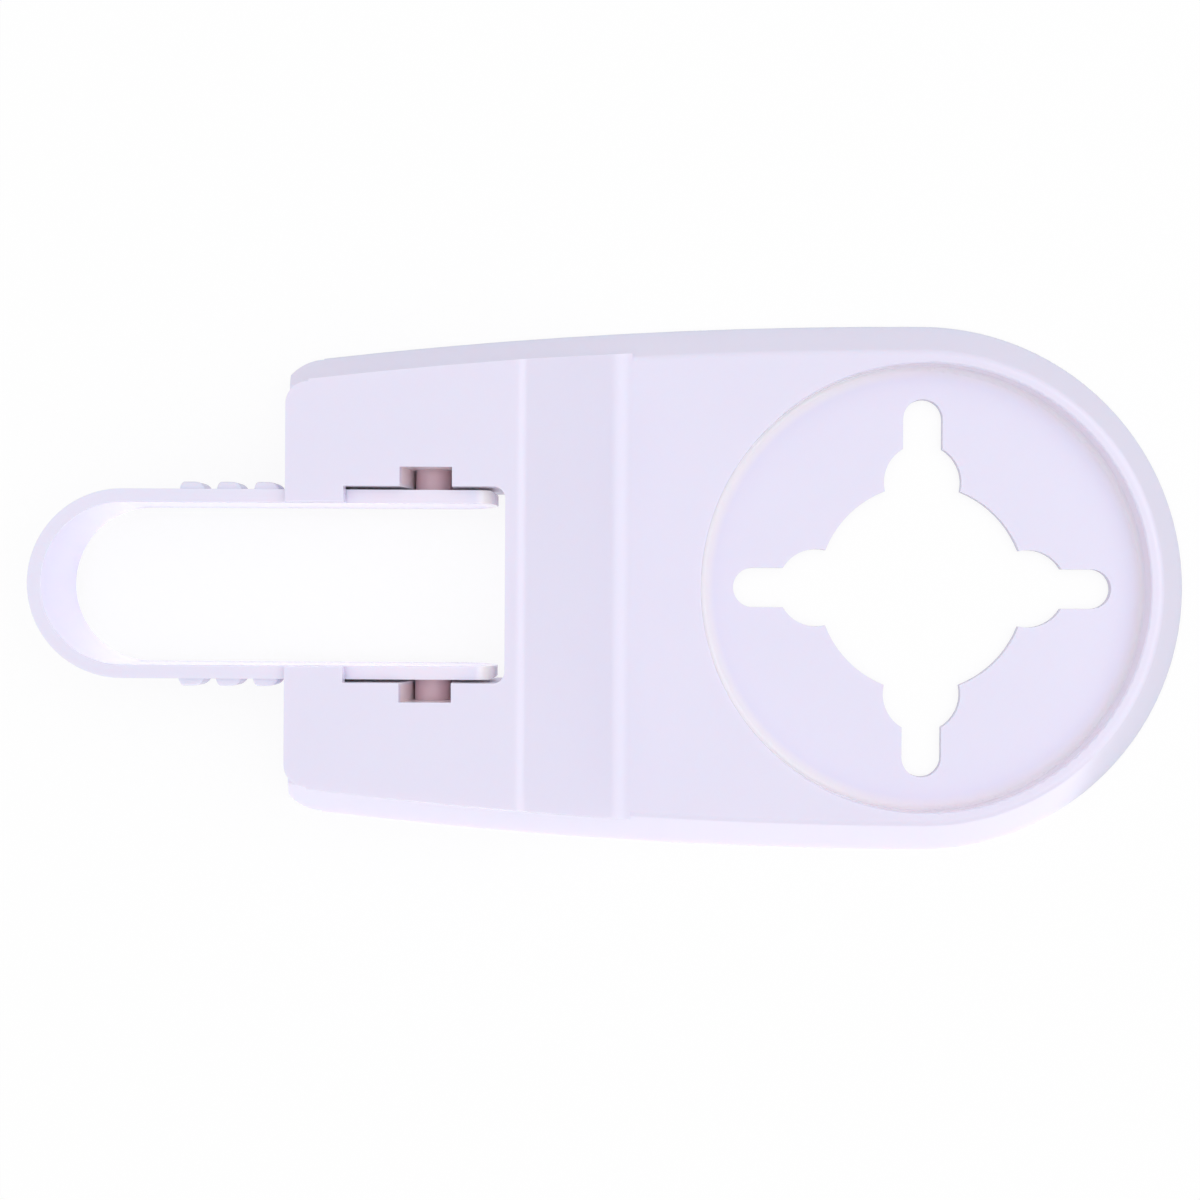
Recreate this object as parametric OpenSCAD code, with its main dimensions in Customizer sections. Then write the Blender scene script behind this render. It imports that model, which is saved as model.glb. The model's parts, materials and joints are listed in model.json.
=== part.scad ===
// Door lever lock: a plate that is clamped behind the rosette of a lever handle,
// with a hinged loop that swings up round the lever and stops it from turning.
// The origin is on the spindle axis, on the door. +Z points away from the door.
// The plate's round end points to +X, and the loop lies along -X when it is parked.

/* [Housing] */
// Height of the hinge block above the door
block_h = 18; // [17:0.5:20]
// Height of the plate round the lever
plate_h = 5.5; // [5:0.5:6.5]
// Radius of the round end, measured on the door
end_r = 40; // [38.5:0.5:42]
// Radius of the long bowed sides, measured on the door
side_r = 780; // [600:10:1200]
// Distance from the spindle axis to the hinge end, on the block's face
reach = 93.2; // [91:0.2:93.2]
// How far the sloped rim leans in between the door and the plate's face
rim_inset = 4.6; // [4:0.1:4.8]
// Radius of the soft edge between the sloped rim and the plate's face
rim_edge_r = 1.5; // [1:0.1:1.6]
// How far the block's face is set in from the outline on the door
block_inset = 5.6; // [5.2:0.1:6.4]
// Draft of the block's long walls, in degrees
side_draft = 8; // [6:0.5:9]
// Draft of the hinge end, in degrees
end_draft = 10; // [6:0.5:10]
// Distance from the spindle axis to the top of the slope
slope_top = 59.6; // [58:0.2:61]
// Distance from the spindle axis to the foot of the slope
slope_foot = 46; // [44:0.2:48]
// Wall thickness of the moulded shell
shell = 2.2; // [1.8:0.1:2.6]

/* [Rosette seat] */
// Radius of the round recess that takes the lever's rosette
recess_r = 33.7; // [33:0.1:34.2]
// Thickness of the recess floor, which the rosette clamps to the door
floor_t = 1.5; // [1.2:0.1:2]
// Radius of the opening for the lever's spindle
hole_r = 15.8; // [14:0.1:17]
// Radius of the shoulder at the root of each screw slot
lobe_r = 5.9; // [5:0.1:6.5]
// Distance from the spindle axis to the middle of each shoulder
lobe_at = 16.1; // [15:0.1:17]
// Width of each screw slot
slot_w = 6; // [5:0.1:7]
// Distance from the spindle axis to the end of each screw slot
slot_reach = 28.75; // [26:0.25:30]

/* [Hinge] */
// Half the width of the window that the loop's arms lie in
window_half = 14; // [13.9:0.05:14.3]
// Distance from the spindle axis to the near end of the window
window_end = 61.9; // [61.6:0.1:62.4]
// Radius of the window's two inner corners
window_corner_r = 1.7; // [1:0.1:2]
// Distance from the spindle axis to the hinge axis
pivot_at = 73.1; // [72.8:0.1:73.4]
// Height of the hinge axis above the door
pivot_z = 9.9; // [9.7:0.1:10.2]
// Radius of the hinge pins
pin_r = 2.65; // [2.4:0.05:2.8]
// Running clearance round each pin
pin_gap = 0.05; // [0.03:0.01:0.1]
// Distance between the two lips that hold the parked arms down, halved
lip_half = 11.7; // [11.6:0.05:12]
// Distance from the spindle axis to the near end of the lips
lip_end = 84.9; // [84:0.1:86]
// Thickness of the lips
lip_t = 1.8; // [1.5:0.1:1.8]

/* [Loop] */
// Thickness of the loop's strip
strip_t = 1.95; // [1.7:0.05:1.95]
// Inner radius of the loop's bow
bow_r = 11.65; // [11.5:0.05:11.7]
// Distance from the spindle axis to the middle of the bow
bow_at = 117; // [115:0.1:119]
// Height of the strip's edge nearest the door
strip_low = 1.5; // [1.2:0.1:2]
// Height of the strip's outer edge
strip_high = 15.9; // [15.5:0.1:16]
// Distance from the hinge axis to the end of each arm
tail = 9.4; // [9:0.1:9.4]
// Ridges for the fingers on each arm
ridge_count = 3; // [2:1:3]
// Distance from one ridge to the next
ridge_pitch = 5.35; // [5:0.05:5.4]
// Length of one ridge along the arm
ridge_length = 3.1; // [2.8:0.1:3.2]
// How far a ridge stands out of the arm
ridge_height = 1.1; // [0.8:0.05:1.1]

/* [Hidden] */

$fn = 96;
smooth = 240;
fine = 2400;
over = 1;
hair = 0.001;
far = 200;
sweep = 12;
white = [0.92, 0.90, 0.97];
rose = [0.80, 0.64, 0.67];

slope_angle = atan((block_h - plate_h) / (slope_top - slope_foot));
fold_steps = 10;
top_fold_r = 2.8;
foot_fold_r = 4.8;
foot_fold_reach = foot_fold_r * tan(slope_angle / 2);
face_corner_r = 3.2;
base_corner_r = 5;

rim_slope = rim_inset / plate_h;
rim_angle = atan(plate_h / rim_inset);
cup_wall = 1.8;
rim_round = 0.3;
seat_fillet = 0.8;

cheek = 2.2;
notch_reach = 16.75;
notch_left = pivot_at + 3.95;
notch_right = pivot_at - 3.7;
bearing_half = 6.5;
bearing_reach = 18.6;
boss_r = 5.2;
boss_reach = 22.2;
pin_reach = 21.6;
pin_tip = 0.5;
seat_gap = 0.25;
tuck = 1;
rib_t = 1.6;
rib_lift = 1;
rib_reach = 15;
rib_stops = [66.4, 86.8];

arm_out = bow_r + strip_t;
tail_x = -pivot_at + tail;
tail_corner_r = 0.8;
tail_top_r = 3;
eye_skin = 0.6;
ridge_low = 6;
ridge_high = 15.2;
ridge_first = 109;
ridge_nose = 0.6;

// Points of the arc of radius r that rounds a fold. The corner of the fold is given, the face
// before it runs along X, and the face after it falls by turn. A foot takes a negative radius.
function fold_arc(corner, r, turn) =
    let (back = abs(r) * tan(turn / 2), side = sign(r))
    [for (i = [0:fold_steps])
        let (a = side > 0 ? turn * i / fold_steps : turn * (1 - i / fold_steps))
        corner + [-side * back + r * sin(a), -r + r * cos(a)]];

// Outline of the housing seen from its long side, drawn in X and Z.
// It is drawn skin deep inside the outer faces, and reaches down to low.
module side_outline(skin, low) {
    drop = block_h - low - skin;
    step_in = skin * tan(slope_angle / 2);
    left = -reach + skin;
    top = [-slope_top - step_in, block_h - skin];
    foot = [-slope_foot - step_in, plate_h - skin];
    polygon(concat([[left - drop * tan(end_draft), low], [left, block_h - skin]],
                   fold_arc(top, top_fold_r, slope_angle),
                   fold_arc(foot, -foot_fold_r, slope_angle),
                   [[end_r + over, plate_h - skin], [end_r + over, low]]));
}

module side_prism(skin, low) {
    translate([0, far / 2, 0])
        rotate([90, 0, 0])
            linear_extrude(far)
                side_outline(skin, low);
}

// The stretch between two bowed sides. Each side is the section given, turned about a far axis.
module bowed_sides(x_from, x_to, low, high) {
    intersection() {
        translate([x_from, -far / 2, low])
            cube([x_to - x_from, far, high - low]);
        bowed_side()
            children();
        mirror([0, 1, 0])
            bowed_side()
                children();
    }
}

module bowed_side() {
    translate([0, end_r - side_r, 0])
        rotate(90 - sweep / 8)
            rotate_extrude(angle = sweep, $fn = fine)
                children();
}

// Section of the sloped rim round an axis at distance r, drawn skin deep inside its outer faces.
module rim_section(r, skin, low) {
    high = plate_h + over;
    if (skin > 0)
        polygon([[0, low], [r - rim_slope * low - skin, low],
                 [r - rim_slope * high - skin, high], [0, high]]);
    else
        polygon(concat([[0, plate_h]], fold_arc([r - rim_inset, plate_h], rim_edge_r, rim_angle),
                       [[r - rim_slope * low, low], [0, low]]));
}

// Section of the block's drafted wall, with the same arguments.
module wall_section(r, skin, low) {
    high = block_h + over;
    inset = block_inset + skin;
    polygon([[0, low], [r - inset + (block_h - low) * tan(side_draft), low],
             [r - inset - over * tan(side_draft), high], [0, high]]);
}

// What is cut away to round the two corners at the hinge end between two heights.
module hinge_corners(x, y, low, high, r_low, r_high) {
    for (side = [-1, 1])
        difference() {
            translate([x - far, side > 0 ? y : -y - far, low])
                cube([far, far, high - low]);
            translate([x, side * y, low - hair])
                cylinder(high - low + 2 * hair, r_low, r_high);
        }
}

// The whole housing as one solid, drawn skin deep inside its outer faces.
module housing(skin, low) {
    draft = tan(side_draft);
    high = block_h + over;
    bow = reach * reach / (2 * side_r);
    face_corner = [-reach + face_corner_r, end_r - bow - block_inset - face_corner_r];
    base_corner = [-reach - block_h * tan(end_draft) + base_corner_r, end_r - bow - base_corner_r];
    intersection() {
        side_prism(skin, low);
        union() {
            difference() {
                union() {
                    bowed_sides(-far / 2, 0, low, high)
                        rim_section(side_r, skin, low);
                    rotate(-90)
                        rotate_extrude(angle = 180, $fn = smooth)
                            rim_section(end_r, skin, low);
                }
                hinge_corners(base_corner.x, base_corner.y, low - over, high,
                              base_corner_r - skin, base_corner_r - skin);
            }
            difference() {
                bowed_sides(-far / 2, -slope_foot + foot_fold_reach, low, high)
                    wall_section(side_r, skin, low);
                hinge_corners(face_corner.x, face_corner.y, low - over, high + over,
                              face_corner_r - skin + (block_h - low + over) * draft,
                              face_corner_r - skin - 2 * over * draft);
            }
        }
    }
}

// Walls inside the shell: the cup of the recess, the frame of the window,
// the two bearings of the hinge, and the ribs that tie them to the long walls.
module inner_walls() {
    cylinder(plate_h - tuck, recess_r + cup_wall, recess_r + cup_wall, $fn = smooth);
    translate([-reach, -window_half - cheek, 0])
        cube([reach - window_end + cheek, 2 * (window_half + cheek), block_h - tuck]);
    for (side = [0, 1])
        mirror([0, side, 0]) {
            translate([-pivot_at - bearing_half, window_half, 0])
                cube([2 * bearing_half, bearing_reach - window_half, block_h - tuck]);
            translate([-pivot_at, bearing_reach - over, pivot_z])
                rotate([-90, 0, 0])
                    cylinder(boss_reach - bearing_reach + over, boss_r, boss_r);
            for (x = rib_stops)
                translate([-x - rib_t / 2, window_half, rib_lift])
                    cube([rib_t, rib_reach, block_h - tuck - rib_lift]);
            translate([-window_end, window_half + cheek - rib_t, rib_lift])
                cube([window_end - recess_r + 2 * cup_wall, rib_t, plate_h - tuck - rib_lift]);
        }
}

// The recess with a rounded rim, and a small fillet left round its floor.
module recess_cut() {
    rotate_extrude($fn = smooth)
        difference() {
            union() {
                translate([0, floor_t])
                    square([recess_r, block_h]);
                translate([0, plate_h - rim_round])
                    square([recess_r + rim_round, block_h]);
            }
            translate([recess_r + rim_round, plate_h - rim_round])
                circle(rim_round);
            translate([recess_r - seat_fillet, floor_t])
                difference() {
                    square(seat_fillet);
                    translate([0, seat_fillet])
                        circle(seat_fillet);
                }
        }
}

// The opening for the spindle, with a shouldered slot for a screw on each of its four sides.
module spindle_cross() {
    translate([0, 0, -over]) {
        cylinder(floor_t + 2 * over, hole_r, hole_r, $fn = smooth);
        for (quarter = [0:90:270])
            rotate(quarter) {
                translate([lobe_at, 0, 0])
                    cylinder(floor_t + 2 * over, lobe_r, lobe_r);
                translate([0, -slot_w / 2, 0])
                    cube([slot_reach - slot_w / 2, slot_w, floor_t + 2 * over]);
                translate([slot_reach - slot_w / 2, 0, 0])
                    cylinder(floor_t + 2 * over, slot_w / 2, slot_w / 2);
            }
    }
}

// The window, open at the hinge end and from front to back, with two rounded corners.
module window_cut() {
    translate([0, 0, -over])
        linear_extrude(block_h + 2 * over)
            rounded_end(-far, -window_end, window_half, window_corner_r);
}

// A rectangle from x_from to x_to with rounded corners at x_to.
module rounded_end(x_from, x_to, half, r) {
    translate([x_from, -half])
        square([x_to - r - x_from, 2 * half]);
    translate([x_from, -half + r])
        square([x_to - x_from, 2 * (half - r)]);
    for (side = [-1, 1])
        translate([x_to - r, side * (half - r)])
            circle(r);
}

// One hinge bearing: a notch in the face, flared to one side, that runs down to the pin,
// and the round bore behind it that the pin turns in.
module bearing_cut() {
    seat_r = pin_r + seat_gap;
    translate([0, notch_reach, 0])
        rotate([90, 0, 0])
            linear_extrude(notch_reach - window_half + over) {
                polygon([[-notch_left, block_h + over], [-pivot_at - seat_r, pivot_z],
                         [-pivot_at + seat_r, pivot_z], [-notch_right, block_h + over]]);
                translate([-pivot_at, pivot_z])
                    circle(seat_r);
            }
    translate([-pivot_at, window_half, pivot_z])
        rotate([-90, 0, 0])
            cylinder(boss_reach - window_half + over, pin_r + pin_gap, pin_r + pin_gap);
}

module mounting_plate() {
    color(white)
        difference() {
            union() {
                difference() {
                    housing(0, 0);
                    housing(shell, -over);
                }
                intersection() {
                    housing(0, 0);
                    inner_walls();
                }
            }
            recess_cut();
            spindle_cross();
            window_cut();
            bearing_cut();
            mirror([0, 1, 0])
                bearing_cut();
        }
}

// A lip on the block's face that the parked arm lies under, cut to the draft of the hinge end.
module retaining_lip() {
    color(white)
        translate([0, window_half, 0])
            rotate([90, 0, 0])
                linear_extrude(window_half - lip_half)
                    polygon([[-reach - lip_t * tan(end_draft), block_h - lip_t], [-reach, block_h],
                             [-lip_end, block_h], [-lip_end, block_h - lip_t]]);
}

module retaining_lip_upper() {
    retaining_lip();
}

module retaining_lip_lower() {
    mirror([0, 1, 0])
        retaining_lip();
}

// A ridge seen from above: a blunt nose towards the bow and a rounded fall towards the hinge.
module ridge_outline() {
    root = -strip_t / 2;
    fall = ridge_length - ridge_nose;
    polygon(concat([[0, root]],
                   [for (i = [0:fold_steps])
                       let (a = 90 * i / fold_steps)
                       [ridge_nose * (1 - cos(a)), ridge_height * sin(a)]],
                   [for (i = [1:fold_steps])
                       let (t = i / fold_steps)
                       [ridge_nose + fall * t, ridge_height * (1 - t * t * t)]],
                   [[ridge_length, root]]));
}

module loop_outline() {
    difference() {
        union() {
            translate([-bow_at, 0])
                circle(arm_out, $fn = smooth);
            rounded_end(-bow_at, tail_x, arm_out, tail_corner_r);
        }
        translate([-bow_at, 0])
            circle(bow_r, $fn = smooth);
        translate([-bow_at, -bow_r])
            square([bow_at, 2 * bow_r]);
    }
}

// The loop seen from its side: a band whose end is rounded below about the hinge axis,
// so that it clears the door when the loop is raised, and has a small round above.
module loop_side() {
    turn = asin((pivot_z - strip_low) / tail);
    polygon(concat([[-far, strip_high], [-far, strip_low]],
                   [for (i = [0:fold_steps])
                       let (a = turn * (i / fold_steps - 1))
                       [-pivot_at + tail * cos(a), pivot_z + tail * sin(a)]],
                   [for (i = [0:fold_steps])
                       let (a = 90 * i / fold_steps)
                       [tail_x - tail_top_r * (1 - cos(a)), strip_high - tail_top_r * (1 - sin(a))]]));
}

module swing_loop() {
    color(white)
        difference() {
            union() {
                intersection() {
                    linear_extrude(block_h)
                        loop_outline();
                    translate([0, far / 2, 0])
                        rotate([90, 0, 0])
                            linear_extrude(far)
                                loop_side();
                }
                for (side = [0, 1])
                    mirror([0, side, 0])
                        for (i = [0:ridge_count - 1])
                            translate([-ridge_first + i * ridge_pitch, arm_out, ridge_low])
                                linear_extrude(ridge_high - ridge_low)
                                    ridge_outline();
            }
            for (side = [0, 1])
                mirror([0, side, 0])
                    translate([-pivot_at, bow_r + eye_skin, pivot_z])
                        rotate([-90, 0, 0])
                            cylinder(strip_t, pin_r, pin_r);
        }
}

// A pin pressed into the blind eye of one arm, with a chamfered tip that turns in the bearing.
module pivot_pin() {
    root = bow_r + eye_skin;
    straight = pin_reach - pin_tip - root;
    color(rose)
        translate([-pivot_at, root, pivot_z])
            rotate([-90, 0, 0]) {
                cylinder(straight, pin_r, pin_r);
                translate([0, 0, straight])
                    cylinder(pin_tip, pin_r, pin_r - pin_tip);
            }
}

module pivot_pin_upper() {
    pivot_pin();
}

module pivot_pin_lower() {
    mirror([0, 1, 0])
        pivot_pin();
}

mounting_plate();
retaining_lip_upper();
retaining_lip_lower();
swing_loop();
pivot_pin_upper();
pivot_pin_lower();
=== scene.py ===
import json
from math import pi, radians

import bmesh
import bpy
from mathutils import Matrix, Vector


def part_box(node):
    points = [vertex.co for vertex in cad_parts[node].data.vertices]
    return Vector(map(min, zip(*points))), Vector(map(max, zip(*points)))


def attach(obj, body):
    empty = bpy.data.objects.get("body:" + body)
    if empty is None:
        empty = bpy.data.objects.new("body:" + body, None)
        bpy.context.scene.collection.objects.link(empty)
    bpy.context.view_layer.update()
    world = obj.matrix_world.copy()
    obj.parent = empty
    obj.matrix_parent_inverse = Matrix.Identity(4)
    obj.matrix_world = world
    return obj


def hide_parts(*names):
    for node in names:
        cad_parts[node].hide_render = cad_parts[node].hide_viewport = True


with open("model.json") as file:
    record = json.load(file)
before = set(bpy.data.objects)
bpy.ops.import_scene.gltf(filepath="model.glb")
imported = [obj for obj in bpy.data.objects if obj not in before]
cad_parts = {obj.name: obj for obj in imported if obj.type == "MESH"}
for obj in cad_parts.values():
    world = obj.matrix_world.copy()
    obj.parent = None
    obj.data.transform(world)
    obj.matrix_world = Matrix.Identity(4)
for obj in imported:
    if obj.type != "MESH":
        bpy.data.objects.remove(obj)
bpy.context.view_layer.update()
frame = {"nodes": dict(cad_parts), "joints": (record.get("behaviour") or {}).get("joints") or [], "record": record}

# Mounting plate
# One injection moulding in satin white plastic: the seat for the lever's rosette, the slope and
# the hollow hinge block. The two lips that hold the parked arms down are part of the same moulding.
MERGE_DISTANCE = 2e-6
FLAT_ANGLE = radians(0.1)
EDGE_ANGLE = radians(30)
EDGE_STEPS = 3
PLATE_EDGE = 0.00040
WINDOW_START, WINDOW_END = -0.0940, -0.0610
WINDOW_SIDE = 0.0145
CRISP_SHARE = 0.4


def merged_copy(name, node):
    """A welded copy of a CAD node, with the triangles of each flat face joined."""
    shape = bmesh.new()
    shape.from_mesh(frame["nodes"][node].data)
    bmesh.ops.remove_doubles(shape, verts=shape.verts, dist=MERGE_DISTANCE)
    bmesh.ops.dissolve_limit(shape, angle_limit=FLAT_ANGLE, verts=shape.verts, edges=shape.edges)
    mesh = bpy.data.meshes.new(name)
    shape.to_mesh(mesh)
    shape.free()
    piece = bpy.data.objects.new(name, mesh)
    bpy.context.scene.collection.objects.link(piece)
    return piece


def make_plain(piece):
    """Turns the result of a piece's modifiers into its own mesh."""
    bpy.context.view_layer.update()
    shown = piece.evaluated_get(bpy.context.evaluated_depsgraph_get())
    mesh = bpy.data.meshes.new_from_object(shown)
    piece.modifiers.clear()
    piece.data = mesh


def soften_edges(piece, width):
    """Rounds a moulding's edges, as the polished corners of its mould do, and less in the window."""
    shape = bmesh.new()
    shape.from_mesh(piece.data)
    weight = shape.edges.layers.float.new("bevel_weight_edge")
    for edge in shape.edges:
        if edge.calc_face_angle(0.0) > EDGE_ANGLE:
            middle = (edge.verts[0].co + edge.verts[1].co) / 2
            in_window = WINDOW_START < middle.x < WINDOW_END and abs(middle.y) < WINDOW_SIDE
            edge[weight] = CRISP_SHARE if in_window else 1.0
    shape.to_mesh(piece.data)
    shape.free()
    piece.data.shade_smooth()
    bevel = piece.modifiers.new("soft edges", "BEVEL")
    bevel.width = width
    bevel.segments = EDGE_STEPS
    bevel.limit_method = "WEIGHT"
    shading = piece.modifiers.new("flat faces stay flat", "WEIGHTED_NORMAL")
    shading.mode = "FACE_AREA"
    make_plain(piece)


PLASTIC_IOR = 1.49
SOAK_SHARE = 0.3
SOAK_COLOUR = (1.0, 0.45, 0.40)
SOAK_DEPTH = 0.0014
CLOUD_SCALE = 55
CLOUD_DETAIL = 3
CLOUD_START, CLOUD_END = 0.30, 0.70
SHEEN_SPREAD = 0.04
PIT_SCALE = 2600
PIT_DETAIL = 2
PIT_DEPTH = 0.00004


def moulded_plastic(name, colour, clouded, roughness, grain):
    """Translucent plastic with faint flow clouds and a fine spark-eroded grain."""
    material = bpy.data.materials.new(name)
    material.use_nodes = True
    nodes, links = material.node_tree.nodes, material.node_tree.links
    shader = nodes["Principled BSDF"]
    shader.inputs["IOR"].default_value = PLASTIC_IOR
    shader.inputs["Subsurface Weight"].default_value = SOAK_SHARE
    shader.inputs["Subsurface Radius"].default_value = SOAK_COLOUR
    shader.inputs["Subsurface Scale"].default_value = SOAK_DEPTH
    place = nodes.new("ShaderNodeTexCoord")

    clouds = nodes.new("ShaderNodeTexNoise")
    clouds.inputs["Scale"].default_value = CLOUD_SCALE
    clouds.inputs["Detail"].default_value = CLOUD_DETAIL
    links.new(place.outputs["Object"], clouds.inputs["Vector"])
    tint = nodes.new("ShaderNodeValToRGB")
    tint.color_ramp.elements[0].position = CLOUD_START
    tint.color_ramp.elements[0].color = (*clouded, 1)
    tint.color_ramp.elements[1].position = CLOUD_END
    tint.color_ramp.elements[1].color = (*colour, 1)
    links.new(clouds.outputs["Fac"], tint.inputs["Fac"])
    links.new(tint.outputs["Color"], shader.inputs["Base Color"])

    sheen = nodes.new("ShaderNodeMapRange")
    sheen.inputs["To Min"].default_value = roughness - SHEEN_SPREAD
    sheen.inputs["To Max"].default_value = roughness + SHEEN_SPREAD
    links.new(clouds.outputs["Fac"], sheen.inputs["Value"])
    links.new(sheen.outputs["Result"], shader.inputs["Roughness"])

    pits = nodes.new("ShaderNodeTexNoise")
    pits.inputs["Scale"].default_value = PIT_SCALE
    pits.inputs["Detail"].default_value = PIT_DETAIL
    links.new(place.outputs["Object"], pits.inputs["Vector"])
    bump = nodes.new("ShaderNodeBump")
    bump.inputs["Strength"].default_value = grain
    bump.inputs["Distance"].default_value = PIT_DEPTH
    links.new(pits.outputs["Fac"], bump.inputs["Height"])
    links.new(bump.outputs["Normal"], shader.inputs["Normal"])
    return material


def feed(tree, node, values):
    """Gives a node's inputs, in their order, sockets or plain numbers."""
    for socket, value in zip(node.inputs, values):
        if isinstance(value, bpy.types.NodeSocket):
            tree.links.new(value, socket)
        else:
            socket.default_value = value


def calc(tree, operation, *values):
    """One Math node."""
    node = tree.nodes.new("ShaderNodeMath")
    node.operation = operation
    feed(tree, node, values)
    return node.outputs["Value"]


def fade(tree, value, start, full):
    """Goes smoothly from 0 where the value is start to 1 where it is full."""
    node = tree.nodes.new("ShaderNodeMapRange")
    node.interpolation_type = "SMOOTHSTEP"
    node.inputs["From Min"].default_value = start
    node.inputs["From Max"].default_value = full
    tree.links.new(value, node.inputs["Value"])
    return node.outputs["Result"]


def overlap(tree, *masks):
    """1 only where all the masks are 1."""
    shared = masks[0]
    for mask in masks[1:]:
        shared = calc(tree, "MULTIPLY", shared, mask)
    return shared


def band(tree, value, start, full, last, end):
    """Goes from 0 at start to 1 at full, and from 1 at last back to 0 at end."""
    return overlap(tree, fade(tree, value, start, full), fade(tree, value, end, last))


def place_of(tree):
    """The three coordinates of a point, in the frame of the part."""
    split = tree.nodes.new("ShaderNodeSeparateXYZ")
    tree.links.new(tree.nodes.new("ShaderNodeTexCoord").outputs["Object"], split.inputs["Vector"])
    return split.outputs


# A Mix node's sockets share their names, so its colour sockets are found by their places.
MIX_SHARE, MIX_UNDER, MIX_OVER, MIX_RESULT = 0, 6, 7, 2


def tone_over(material, mask, tone):
    """Mixes a tone over a plastic's colour where the mask is 1."""
    tree = material.node_tree
    mix = tree.nodes.new("ShaderNodeMix")
    mix.data_type = "RGBA"
    colour = tree.nodes["Principled BSDF"].inputs["Base Color"]
    tree.links.new(mask, mix.inputs[MIX_SHARE])
    tree.links.new(colour.links[0].from_socket, mix.inputs[MIX_UNDER])
    mix.inputs[MIX_OVER].default_value = (*tone, 1)
    tree.links.new(mix.outputs[MIX_RESULT], colour)


def paint(piece, material):
    """Gives a piece one material all over."""
    piece.data.materials.clear()
    piece.data.materials.append(material)


SATIN_WHITE = (0.832, 0.800, 0.985)
SATIN_CLOUD = (0.824, 0.792, 0.976)
satin_white = moulded_plastic("satin white plastic", SATIN_WHITE, SATIN_CLOUD, roughness=0.24, grain=0.12)
tree = satin_white.node_tree
x, y, z = place_of(tree)
from_middle = calc(tree, "ABSOLUTE", y)
below_top = calc(tree, "SUBTRACT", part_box("mounting_plate")[1][2], z)

# Painted light and shade: the recess wall is tinted pink and a little lighter than the plastic, for the warm shade
# that translucent plastic shows inside the recess. It is painted paler still on the side towards the block, where
# light from the right falls on it.
RECESS_WALL = (-0.0022, -0.0002, 0.0004, 0.0007)
RECESS_DEPTH = (0.0010, 0.0015, 0.0050, 0.0054)
# painted warm shade on the recess wall
RECESS_SHADE_TONE = (0.91, 0.85, 0.96)
BLOCK_SIDE = (0.0020, -0.0180)
# painted light on the block side of the recess wall
LIT_SIDE_TONE = (0.94, 0.90, 0.98)
mounts = {mount["name"]: mount for mount in frame["record"]["mounts"]}
recess_radius = mounts["rosette_recess"]["dims"]["r_mm"] / 1000
radius = calc(tree, "SQRT", calc(tree, "MULTIPLY_ADD", x, x, calc(tree, "MULTIPLY", y, y)))
past_wall = calc(tree, "SUBTRACT", radius, recess_radius)
recess_wall = overlap(tree, band(tree, past_wall, *RECESS_WALL), band(tree, z, *RECESS_DEPTH))
tone_over(satin_white, recess_wall, RECESS_SHADE_TONE)
tone_over(satin_white, overlap(tree, recess_wall, fade(tree, x, *BLOCK_SIDE)), LIT_SIDE_TONE)

# Painted shade and reflection: the notches are painted rose, for the warm shade in them and the pins' colour
# reflected onto their walls. Painted light: the window's side walls are painted paler, so the gaps beside the arms
# look less dark.
NOTCH_REACH = (0.0137, 0.0140, 0.0168, 0.0171)
NOTCH_HALF = (0.0046, 0.0041)
NOTCH_DEPTH = (0.0002, 0.0018)
# painted warm shade and reflected pin colour in the notches
NOTCH_SHADE_TONE = (0.98, 0.84, 0.87)
WINDOW_WALL = (0.0137, 0.0139, 0.0142, 0.0146)
WINDOW_SPAN = (WINDOW_START, WINDOW_START + 0.0010, WINDOW_END - 0.0010, WINDOW_END)
WINDOW_DEPTH = (0.0, 0.0006)
# painted light on the window's side walls
WINDOW_WALL_LIGHT_TONE = (0.93, 0.89, 0.98)
from_pivot = calc(tree, "ABSOLUTE", calc(tree, "SUBTRACT", x, frame["joints"][0]["pos_m"][0]))
notch = overlap(tree, band(tree, from_middle, *NOTCH_REACH), fade(tree, from_pivot, *NOTCH_HALF))
tone_over(satin_white, overlap(tree, notch, fade(tree, below_top, *NOTCH_DEPTH)), NOTCH_SHADE_TONE)
window = overlap(tree, band(tree, from_middle, *WINDOW_WALL), band(tree, x, *WINDOW_SPAN))
tone_over(satin_white, overlap(tree, window, fade(tree, below_top, *WINDOW_DEPTH)), WINDOW_WALL_LIGHT_TONE)

housing = merged_copy("housing", "mounting_plate")
for node in ("retaining_lip_upper", "retaining_lip_lower"):
    lip = merged_copy("lip", node)
    weld = housing.modifiers.new("lip", "BOOLEAN")
    weld.operation = "UNION"
    weld.solver = "EXACT"
    weld.object = lip
    make_plain(housing)
    bpy.data.objects.remove(lip)
soften_edges(housing, PLATE_EDGE)
paint(housing, satin_white)
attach(housing, "base")
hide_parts("mounting_plate", "retaining_lip_upper", "retaining_lip_lower")

# Hinge pins
# Two short plastic pins, pressed into the eyes of the loop's arms. Their outer ends turn
# in the plate's bearings and show at the bottom of the two notches in the block's face.
# Their rose colour is painted shade: the warm shade at the bottom of the notches, given to the pins.
PIN_EDGE = 0.00015
# painted shade: the rose colour of the pins
NOTCH_SHADE_ROSE = (0.785, 0.600, 0.660)
NOTCH_SHADE_ROSE_CLOUD = (0.760, 0.565, 0.620)
notch_shade_rose = moulded_plastic("rose plastic", NOTCH_SHADE_ROSE, NOTCH_SHADE_ROSE_CLOUD, roughness=0.38, grain=0.15)
for node in ("pivot_pin_upper", "pivot_pin_lower"):
    pin = merged_copy(node.replace("pivot", "hinge"), node)
    soften_edges(pin, PIN_EDGE)
    paint(pin, notch_shade_rose)
    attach(pin, "loop")
    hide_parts(node)

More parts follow.
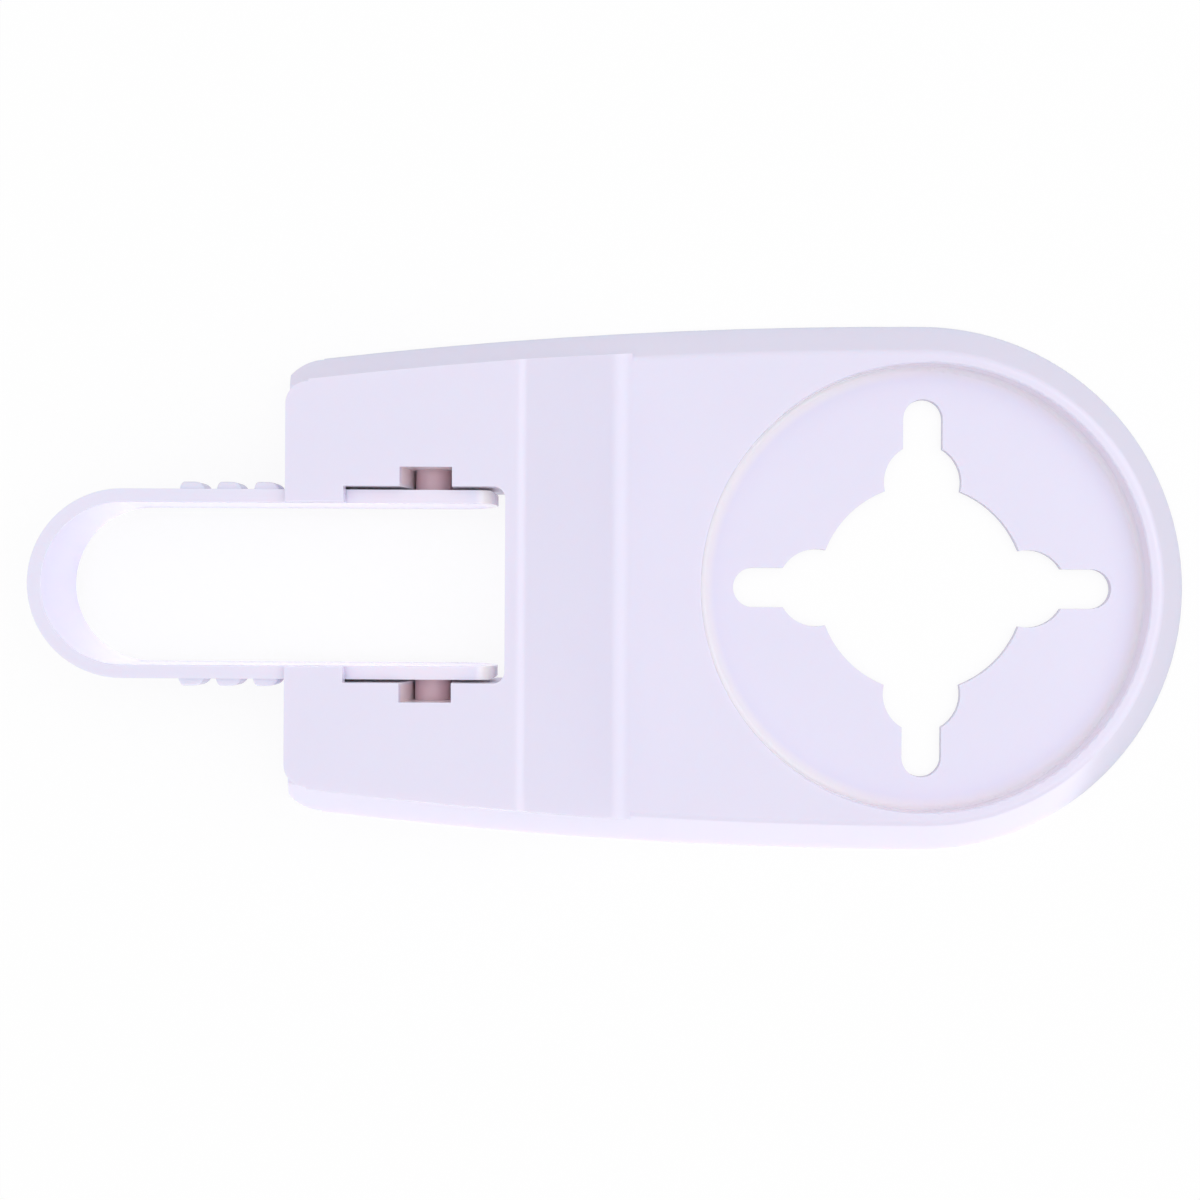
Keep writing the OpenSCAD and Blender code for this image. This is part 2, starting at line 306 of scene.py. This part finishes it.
# Swing loop
# A springy U-shaped strip, moulded in a glossier grade of the same white plastic. Its two arms
# are squeezed together to pass the lips, so its edges are rounded for the fingers.
LOOP_EDGE = 0.00035
ARM_FACE = 0.0136
GLOSS_WHITE = (0.832, 0.812, 0.990)
GLOSS_CLOUD = (0.824, 0.804, 0.982)
# Painted shade: the rounded tail end of each arm is tinted warm, for the shade where it falls away.
TAIL = (-0.0668, -0.0645)
TAIL_SHADE_TONE = (0.96, 0.90, 0.87)
# Painted light: the arms are painted a little paler and warmer under the lips and through the window, lifting the
# shade of the lips and the block.
HINGE_END = (-0.1050, -0.0860, -0.0685, -0.0655)
HINGE_END_LIGHT_TONE = (0.88, 0.83, 0.99)
gloss_white = moulded_plastic("gloss white plastic", GLOSS_WHITE, GLOSS_CLOUD, roughness=0.22, grain=0.06)
tree = gloss_white.node_tree
x, y, z = place_of(tree)
tone_over(gloss_white, fade(tree, x, *TAIL), TAIL_SHADE_TONE)
tone_over(gloss_white, band(tree, x, *HINGE_END), HINGE_END_LIGHT_TONE)

# The strip is the loop without its ridges, which are made anew below.
loop = merged_copy("swing_strip", "swing_loop")
strip = bmesh.new()
strip.from_mesh(loop.data)
proud = [corner for corner in strip.verts if abs(corner.co.y) > ARM_FACE + MERGE_DISTANCE]
bmesh.ops.delete(strip, geom=proud, context="VERTS")
bmesh.ops.holes_fill(strip, edges=strip.edges, sides=0)
bmesh.ops.dissolve_limit(strip, angle_limit=FLAT_ANGLE, verts=strip.verts, edges=strip.edges)
strip.to_mesh(loop.data)
strip.free()
soften_edges(loop, LOOP_EDGE)
paint(loop, gloss_white)
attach(loop, "loop")
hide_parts("swing_loop")

# Grip ridges
# Three ribs on the outside of each arm, where finger and thumb squeeze the loop. They are moulded
# in one with the strip, and each has a blunt nose towards the bow and falls away to the hinge.
ridge_sizes = {
    "Count": 3,
    "Pitch": 0.00535,
    "First": -0.1090,
    "Arm face": ARM_FACE,
    "Middle": 0.0128,
    "Length": 0.0036,
    "Width": 0.0048,
    "Height": 0.0011,
    "Nose": 0.0006,
    "Round": 0.0006,
    "Root": 0.0009,
    "Fullness": 6.0,
}
RIDGE_COLUMNS = 34
RIDGE_ROWS = 24


def ridge_rows(material):
    """A node tree that sets one rounded rib along both arms, with its sizes as named inputs."""
    tree = bpy.data.node_groups.new("grip ridges", "GeometryNodeTree")
    nodes, links = tree.nodes, tree.links
    for name, value in ridge_sizes.items():
        kind = "NodeSocketInt" if isinstance(value, int) else "NodeSocketFloat"
        tree.interface.new_socket(name, in_out="INPUT", socket_type=kind)
    tree.interface.new_socket("Geometry", in_out="OUTPUT", socket_type="NodeSocketGeometry")
    size = nodes.new("NodeGroupInput").outputs

    def vector(*values):
        """One Combine XYZ node."""
        node = nodes.new("ShaderNodeCombineXYZ")
        feed(tree, node, values)
        return node.outputs["Vector"]

    def quarter_round(run):
        """The height of a quarter circle, from 0 where run is 0 to 1 where run is 1 or more."""
        short = calc(tree, "SUBTRACT", 1.0, calc(tree, "MINIMUM", calc(tree, "MAXIMUM", run, 0.0), 1.0))
        return calc(tree, "SQRT", calc(tree, "SUBTRACT", 1.0, calc(tree, "MULTIPLY", short, short)))

    block = nodes.new("GeometryNodeMeshCube")
    block.inputs["Vertices X"].default_value = RIDGE_COLUMNS
    block.inputs["Vertices Z"].default_value = RIDGE_ROWS
    place = nodes.new("GeometryNodeInputPosition")
    split = nodes.new("ShaderNodeSeparateXYZ")
    links.new(place.outputs["Position"], split.inputs["Vector"])
    along = calc(tree, "MULTIPLY", calc(tree, "ADD", split.outputs["X"], 0.5), size["Length"])
    across = calc(tree, "MULTIPLY", split.outputs["Z"], size["Width"])
    nose = quarter_round(calc(tree, "DIVIDE", along, size["Nose"]))
    past_nose = calc(tree, "MAXIMUM", calc(tree, "SUBTRACT", along, size["Nose"]), 0.0)
    fallen = calc(tree, "DIVIDE", past_nose, calc(tree, "SUBTRACT", size["Length"], size["Nose"]))
    fall = calc(tree, "SUBTRACT", 1.0, calc(tree, "POWER", fallen, size["Fullness"]))
    half_width = calc(tree, "DIVIDE", size["Width"], 2.0)
    to_end = calc(tree, "SUBTRACT", half_width, calc(tree, "ABSOLUTE", across))
    ends = quarter_round(calc(tree, "DIVIDE", to_end, size["Round"]))
    rise = overlap(tree, fall, ends, nose)
    crown = calc(tree, "MULTIPLY", rise, size["Height"])
    is_top = calc(tree, "GREATER_THAN", split.outputs["Y"], 0.0)
    root = calc(tree, "MULTIPLY", calc(tree, "SUBTRACT", is_top, 1.0), size["Root"])
    out = calc(tree, "ADD", root, calc(tree, "MULTIPLY", is_top, crown))
    shape = nodes.new("GeometryNodeSetPosition")
    links.new(block.outputs["Mesh"], shape.inputs["Geometry"])
    links.new(vector(along, out, across), shape.inputs["Position"])
    smooth = nodes.new("GeometryNodeSetShadeSmooth")
    links.new(shape.outputs["Geometry"], smooth.inputs["Geometry"])

    both = nodes.new("GeometryNodeJoinGeometry")
    for side, turn in ((1.0, 0.0), (-1.0, pi)):
        row = nodes.new("GeometryNodeMeshLine")
        links.new(size["Count"], row.inputs["Count"])
        face = calc(tree, "MULTIPLY", size["Arm face"], side)
        links.new(vector(size["First"], face, size["Middle"]), row.inputs["Start Location"])
        links.new(vector(size["Pitch"], 0.0, 0.0), row.inputs["Offset"])
        set_out = nodes.new("GeometryNodeInstanceOnPoints")
        links.new(row.outputs["Mesh"], set_out.inputs["Points"])
        links.new(smooth.outputs["Geometry"], set_out.inputs["Instance"])
        set_out.inputs["Rotation"].default_value = (turn, 0.0, 0.0)
        links.new(set_out.outputs["Instances"], both.inputs["Geometry"])
    real = nodes.new("GeometryNodeRealizeInstances")
    links.new(both.outputs["Geometry"], real.inputs["Geometry"])
    coat = nodes.new("GeometryNodeSetMaterial")
    coat.inputs["Material"].default_value = material
    links.new(real.outputs["Geometry"], coat.inputs["Geometry"])
    links.new(coat.outputs["Geometry"], nodes.new("NodeGroupOutput").inputs["Geometry"])
    return tree


ridges = bpy.data.objects.new("grip_ridges", bpy.data.meshes.new("grip_ridges"))
bpy.context.scene.collection.objects.link(ridges)
rows = ridges.modifiers.new("grip ridges", "NODES")
rows.node_group = ridge_rows(gloss_white)
for socket in rows.node_group.interface.items_tree:
    if socket.in_out == "INPUT":
        rows[socket.identifier] = ridge_sizes[socket.name]
make_plain(ridges)
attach(ridges, "loop")

# Studio
# A white light table under a tent, with one large soft lamp on the right. The tent is brightest overhead,
# a little dim on the left and near sides, and has a panel on the right for the gloss. The table glows at
# the near side and under the loop.
FLOOR_HALF = 3.0
FLOOR_DROP = 0.0002
sides = ((-1, -1), (1, -1), (1, 1), (-1, 1))
corners = [(across * FLOOR_HALF, along * FLOOR_HALF, -FLOOR_DROP) for across, along in sides]
floor_mesh = bpy.data.meshes.new("floor")
floor_mesh.from_pydata(corners, [], [(0, 1, 2, 3)])
floor = bpy.data.objects.new("floor", floor_mesh)
bpy.context.scene.collection.objects.link(floor)


def rays_of(tree):
    """1 for camera rays, and 1 for the mirror and see-through rays that show the studio too."""
    ray = tree.nodes.new("ShaderNodeLightPath").outputs
    return ray["Is Camera Ray"], calc(tree, "MAXIMUM", ray["Is Glossy Ray"], ray["Is Transmission Ray"])


TABLE_SHADE = 0.74
SEEN_WHITE = 0.85
MIRRORED_WHITE = 0.20
NEAR_SIDE = (-0.030, -0.036)
NEAR_GLOW = 0.65
NEAR_SHEEN = 1.25
LOOP_LENGTH = (-0.1300, -0.1240, -0.0630, -0.0615)
LOOP_HALF = (0.0116, 0.0106)
LOOP_GLOW = 0.70
table = bpy.data.materials.new("white light table")
table.use_nodes = True
tree = table.node_tree
nodes, links = tree.nodes, tree.links
nodes.remove(nodes["Principled BSDF"])
x, y, z = place_of(tree)
camera_ray, mirror_ray = rays_of(tree)
lit = nodes.new("ShaderNodeBsdfDiffuse")
links.new(calc(tree, "MULTIPLY_ADD", camera_ray, 1.0 - TABLE_SHADE, TABLE_SHADE), lit.inputs["Color"])
near_level = calc(tree, "MULTIPLY_ADD", mirror_ray, NEAR_SHEEN, NEAR_GLOW)
near = calc(tree, "MULTIPLY", fade(tree, y, *NEAR_SIDE), near_level)
crosswise = fade(tree, calc(tree, "ABSOLUTE", y), *LOOP_HALF)
in_loop = overlap(tree, band(tree, x, *LOOP_LENGTH), crosswise)
glow = calc(tree, "MULTIPLY_ADD", in_loop, LOOP_GLOW, near)
unseen = calc(tree, "SUBTRACT", 1.0, camera_ray)
lamps_below = nodes.new("ShaderNodeEmission")
links.new(calc(tree, "MULTIPLY", glow, unseen), lamps_below.inputs["Strength"])
glowing = nodes.new("ShaderNodeAddShader")
links.new(lit.outputs["BSDF"], glowing.inputs[0])
links.new(lamps_below.outputs["Emission"], glowing.inputs[1])
white = nodes.new("ShaderNodeEmission")
mirrored = calc(tree, "MULTIPLY", mirror_ray, MIRRORED_WHITE)
mix = nodes.new("ShaderNodeMixShader")
links.new(calc(tree, "MULTIPLY_ADD", camera_ray, SEEN_WHITE, mirrored), mix.inputs["Fac"])
links.new(glowing.outputs["Shader"], mix.inputs[1])
links.new(white.outputs["Emission"], mix.inputs[2])
links.new(mix.outputs["Shader"], nodes["Material Output"].inputs["Surface"])
floor_mesh.materials.append(table)

TENT_LEVEL = 0.42
TENT_TOP = 0.79
DIM_SPAN = (0.0, -0.8)
DIM_LEFT = 0.06
DIM_NEAR = 0.06
PANEL_SPAN = (0.20, 0.45, 0.85, 0.95)
PANEL_HALF = (0.65, 0.45)
PANEL_LEVEL = 1.5
world = bpy.data.worlds.new("light tent")
bpy.context.scene.world = world
world.use_nodes = True
tree = world.node_tree
nodes, links = tree.nodes, tree.links
direction = nodes.new("ShaderNodeSeparateXYZ")
links.new(nodes.new("ShaderNodeTexCoord").outputs["Generated"], direction.inputs["Vector"])
right, far, up = direction.outputs
camera_ray, mirror_ray = rays_of(tree)
overhead = calc(tree, "MULTIPLY_ADD", calc(tree, "MAXIMUM", up, 0.0), TENT_TOP, TENT_LEVEL)
dim_left = calc(tree, "MULTIPLY_ADD", fade(tree, right, *DIM_SPAN), -DIM_LEFT, 1.0)
dim_sides = calc(tree, "MULTIPLY_ADD", fade(tree, far, *DIM_SPAN), -DIM_NEAR, dim_left)
panel_breadth = fade(tree, calc(tree, "ABSOLUTE", far), *PANEL_HALF)
panel = overlap(tree, band(tree, right, *PANEL_SPAN), panel_breadth)
gloss = calc(tree, "MULTIPLY_ADD", panel, PANEL_LEVEL, dim_sides)
level = nodes.new("ShaderNodeMapRange")
links.new(calc(tree, "MAXIMUM", camera_ray, mirror_ray), level.inputs["Value"])
links.new(calc(tree, "MULTIPLY", overhead, dim_sides), level.inputs["To Min"])
links.new(calc(tree, "MAXIMUM", gloss, camera_ray), level.inputs["To Max"])
tent = nodes["Background"]
tent.inputs["Color"].default_value = (1, 1, 1, 1)
links.new(level.outputs["Result"], tent.inputs["Strength"])

KEY_PLACE = (0.60, 0.25, 0.95)
KEY_WIDTH = 1.0
KEY_LENGTH = 0.7
KEY_POWER = 0.9
key = bpy.data.lights.new("key lamp", "AREA")
key.shape = "RECTANGLE"
key.size = KEY_WIDTH
key.size_y = KEY_LENGTH
key.energy = KEY_POWER
key_object = bpy.data.objects.new("key lamp", key)
key_object.location = KEY_PLACE
key_object.rotation_euler = (-key_object.location).to_track_quat("-Z", "Y").to_euler()
bpy.context.scene.collection.objects.link(key_object)

# Camera
# A normal lens straight above the lock, turned by a hair. The frame is shifted to the left, because the
# lens stands a little right of the picture's middle.
FRAME_PIXELS = 1200
FOCAL_PIXELS = 1634
SHIFT_PIXELS = -60
SENSOR_WIDTH = 36
NEAREST = 0.01
CAMERA_PLACE = (-0.03985, -0.0020, 0.250)
CAMERA_TURN = radians(0.31)
camera = bpy.data.cameras.new("camera")
camera.sensor_width = SENSOR_WIDTH
camera.lens = FOCAL_PIXELS / FRAME_PIXELS * SENSOR_WIDTH
camera.shift_x = SHIFT_PIXELS / FRAME_PIXELS
camera.clip_start = NEAREST
camera_object = bpy.data.objects.new("camera", camera)
camera_object.location = CAMERA_PLACE
camera_object.rotation_euler = (0, 0, CAMERA_TURN)
bpy.context.scene.collection.objects.link(camera_object)
bpy.context.scene.camera = camera_object
bpy.context.scene.view_settings.view_transform = "Standard"
